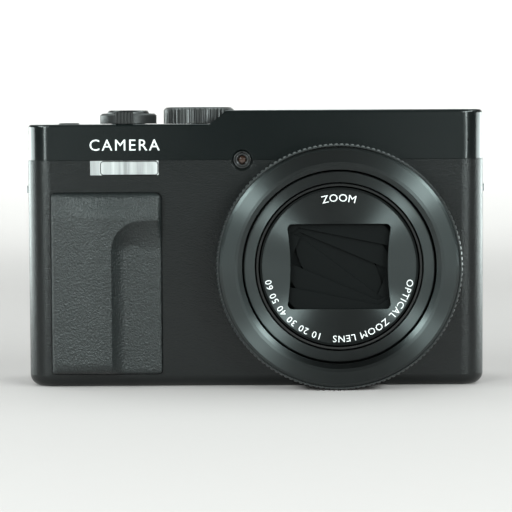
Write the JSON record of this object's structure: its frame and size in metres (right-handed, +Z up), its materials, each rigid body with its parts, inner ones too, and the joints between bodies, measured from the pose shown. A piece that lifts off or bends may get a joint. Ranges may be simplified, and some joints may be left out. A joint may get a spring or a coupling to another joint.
{
  "type": "compact digital camera",
  "caption": "Slim camera with a telescoping zoom lens behind a leaf barrier, knurled control ring, finger grip, top dials, eye-level finder and flip-up rear screen.",
  "frame": {"origin": "centre of the bounding box's bottom face, on the surface the camera stands on", "axes": "+Z up, the lens looks along -Y, +X towards the lens side of the body"},
  "size_m": [0.1138, 0.0415, 0.0684],
  "materials": {
    "body_plastic": "fine texture",
    "top_satin": "satin",
    "grip_rubber": "leather grain",
    "ring_black": "black anodised",
    "barrel_black": "satin",
    "blade_black": "matt",
    "lens_glass": "coated",
    "clear_window": "clear",
    "lamp_amber": "tinted",
    "reflector": "mirror",
    "inner_plastic": "moulded",
    "steel": "brushed",
    "black_steel": "black",
    "board_green": "printed circuit",
    "battery_grey": "wrapped",
    "card_blue": "moulded",
    "button_black": "satin",
    "shutter_metal": "turned",
    "record_dot": "satin",
    "screen_glass": "gloss"
  },
  "bodies": {
    "housing": {"front_cover": "body_plastic", "rear_cover": "body_plastic", "bottom_plate": "body_plastic", "side_plates": "inner_plastic", "top_cover": "top_satin", "grip_pad": "grip_rubber", "thumb_rest": "grip_rubber", "flash_window": "clear_window", "flash_reflector": "reflector", "flash_tube": "clear_window", "focus_lamp": "lamp_amber", "lamp_bezel": "button_black", "lens_sleeve": "barrel_black", "trim_ring": "ring_black", "lens_base": "inner_plastic", "image_sensor": "screen_glass", "zoom_motor": "steel", "main_board": "board_green", "battery_box": "inner_plastic", "battery": "battery_grey", "memory_card": "card_blue", "tripod_socket": "steel", "case_screws": "black_steel", "strap_lugs": "steel", "io_sockets": "steel", "screen_brackets": "black_steel", "viewfinder_frame": "inner_plastic", "viewfinder_lens": "lens_glass"},
    "control_ring": {"control_ring": "ring_black"},
    "barrel_1": {"barrel_1": "ring_black"},
    "barrel_2": {"barrel_2": "ring_black"},
    "barrel_3": {"barrel_3": "barrel_black", "name_ring": "ring_black", "front_element": "lens_glass", "inner_group": "barrel_black", "inner_elements": "lens_glass"},
    "zoom_lever": {"zoom_lever": "button_black"},
    "shutter_button": {"shutter_button": "shutter_metal"},
    "mode_dial": {"mode_dial": "ring_black"},
    "power_button": {"power_button": "button_black"},
    "movie_button": {"movie_button": "record_dot"},
    "rear_dial": {"rear_dial": "button_black"},
    "set_button": {"set_button": "button_black"},
    "play_button": {"play_button": "button_black"},
    "burst_button": {"burst_button": "button_black"},
    "display_button": {"display_button": "button_black"},
    "erase_button": {"erase_button": "button_black"},
    "viewfinder_button": {"viewfinder_button": "button_black"},
    "screen": {"screen_frame": "body_plastic", "screen_glass": "screen_glass"},
    "battery_door": {"battery_door": "body_plastic"},
    "door_latch": {"door_latch": "button_black"},
    "port_cover": {"port_cover": "body_plastic"},
    "dioptre_wheel": {"dioptre_wheel": "button_black"},
    "blade_lower_outer": {"barrier_blade_lower_outer": "blade_black"},
    "blade_upper_outer": {"barrier_blade_upper_outer": "blade_black"},
    "blade_lower_middle": {"barrier_blade_lower_middle": "blade_black"},
    "blade_upper_middle": {"barrier_blade_upper_middle": "blade_black"},
    "blade_lower_inner": {"barrier_blade_lower_inner": "blade_black"},
    "blade_upper_inner": {"barrier_blade_upper_inner": "blade_black"}
  },
  "joints": [
    {"name": "control_ring_turn", "type": "hinge", "parent": "housing", "child": "control_ring", "pos_m": [0.02, -0.015, 0.0298], "axis": [0, -1, 0], "continuous": true},
    {"name": "barrel_1_slide", "type": "slide", "parent": "housing", "child": "barrel_1", "axis": [0, -1, 0], "range_m": [0, 0.017]},
    {"name": "barrel_2_slide", "type": "slide", "parent": "barrel_1", "child": "barrel_2", "axis": [0, -1, 0], "range_m": [0, 0.017]},
    {"name": "barrel_3_slide", "type": "slide", "parent": "barrel_2", "child": "barrel_3", "axis": [0, -1, 0], "range_m": [0, 0.015]},
    {"name": "blade_lower_outer_swing", "type": "hinge", "parent": "barrel_3", "child": "blade_lower_outer", "pos_m": [0.0352, -0.0163, 0.0228], "axis": [0, -1, 0], "range_deg": [0, 11.5]},
    {"name": "blade_upper_outer_swing", "type": "hinge", "parent": "barrel_3", "child": "blade_upper_outer", "pos_m": [0.0048, -0.0163, 0.0368], "axis": [0, -1, 0], "range_deg": [0, 11.5]},
    {"name": "blade_lower_middle_swing", "type": "hinge", "parent": "barrel_3", "child": "blade_lower_middle", "pos_m": [0.0352, -0.0163, 0.0228], "axis": [0, -1, 0], "range_deg": [0, 23]},
    {"name": "blade_upper_middle_swing", "type": "hinge", "parent": "barrel_3", "child": "blade_upper_middle", "pos_m": [0.0048, -0.0163, 0.0368], "axis": [0, -1, 0], "range_deg": [0, 23]},
    {"name": "blade_lower_inner_swing", "type": "hinge", "parent": "barrel_3", "child": "blade_lower_inner", "pos_m": [0.0352, -0.0163, 0.0228], "axis": [0, -1, 0], "range_deg": [0, 36.8]},
    {"name": "blade_upper_inner_swing", "type": "hinge", "parent": "barrel_3", "child": "blade_upper_inner", "pos_m": [0.0048, -0.0163, 0.0368], "axis": [0, -1, 0], "range_deg": [0, 36.8]},
    {"name": "zoom_lever_turn", "type": "hinge", "parent": "housing", "child": "zoom_lever", "pos_m": [-0.03145, -0.001, 0.066], "axis": [0, 0, 1], "range_deg": [-20, 20], "stiffness_Nm_per_rad": 0.02},
    {"name": "shutter_press", "type": "slide", "parent": "housing", "child": "shutter_button", "axis": [0, 0, -1], "range_m": [0, 0.0008], "stiffness_N_per_m": 200},
    {"name": "mode_dial_turn", "type": "hinge", "parent": "housing", "child": "mode_dial", "pos_m": [-0.01412, 0.003, 0.0665], "axis": [0, 0, 1], "continuous": true},
    {"name": "power_press", "type": "slide", "parent": "housing", "child": "power_button", "axis": [0, 0, -1], "range_m": [0, 0.0004], "stiffness_N_per_m": 200},
    {"name": "movie_press", "type": "slide", "parent": "housing", "child": "movie_button", "axis": [0, 0, -1], "range_m": [0, 0.0004], "stiffness_N_per_m": 200},
    {"name": "rear_dial_turn", "type": "hinge", "parent": "housing", "child": "rear_dial", "pos_m": [-0.038, 0.018, 0.024], "axis": [0, -1, 0], "continuous": true},
    {"name": "set_press", "type": "slide", "parent": "housing", "child": "set_button", "axis": [0, -1, 0], "range_m": [0, 0.0006], "stiffness_N_per_m": 200},
    {"name": "play_press", "type": "slide", "parent": "housing", "child": "play_button", "axis": [0, -1, 0], "range_m": [0, 0.0004], "stiffness_N_per_m": 200},
    {"name": "burst_press", "type": "slide", "parent": "housing", "child": "burst_button", "axis": [0, -1, 0], "range_m": [0, 0.0004], "stiffness_N_per_m": 200},
    {"name": "display_press", "type": "slide", "parent": "housing", "child": "display_button", "axis": [0, -1, 0], "range_m": [0, 0.0004], "stiffness_N_per_m": 200},
    {"name": "erase_press", "type": "slide", "parent": "housing", "child": "erase_button", "axis": [0, -1, 0], "range_m": [0, 0.0004], "stiffness_N_per_m": 200},
    {"name": "viewfinder_press", "type": "slide", "parent": "housing", "child": "viewfinder_button", "axis": [0, -1, 0], "range_m": [0, 0.0004], "stiffness_N_per_m": 200},
    {"name": "screen_tilt", "type": "hinge", "parent": "housing", "child": "screen", "pos_m": [0.014, 0.0192, 0.0539], "axis": [1, 0, 0], "range_deg": [0, 180]},
    {"name": "battery_door_swing", "type": "hinge", "parent": "housing", "child": "battery_door", "pos_m": [-0.0209, 0.004, 0.00075], "axis": [0, -1, 0], "range_deg": [0, 90]},
    {"name": "door_latch_slide", "type": "slide", "parent": "battery_door", "child": "door_latch", "axis": [0, 1, 0], "range_m": [0, 0.0029]},
    {"name": "port_cover_swing", "type": "hinge", "parent": "housing", "child": "port_cover", "pos_m": [0.0554, 0.0047, 0.04], "axis": [0, 0, 1], "range_deg": [0, 90]},
    {"name": "dioptre_turn", "type": "hinge", "parent": "housing", "child": "dioptre_wheel", "pos_m": [0.0496, 0.017, 0.061], "axis": [0, -1, 0], "range_deg": [-150, 150]}
  ],
  "couplings": [
    {"joint": "barrel_2_slide", "follows": "barrel_1_slide", "ratio": 1},
    {"joint": "barrel_3_slide", "follows": "barrel_1_slide", "ratio": 0.88235},
    {"joint": "blade_lower_outer_swing", "follows": "blade_lower_inner_swing", "ratio": 0.3125},
    {"joint": "blade_upper_outer_swing", "follows": "blade_lower_inner_swing", "ratio": 0.3125},
    {"joint": "blade_lower_middle_swing", "follows": "blade_lower_inner_swing", "ratio": 0.625},
    {"joint": "blade_upper_middle_swing", "follows": "blade_lower_inner_swing", "ratio": 0.625},
    {"joint": "blade_upper_inner_swing", "follows": "blade_lower_inner_swing", "ratio": 1}
  ]
}
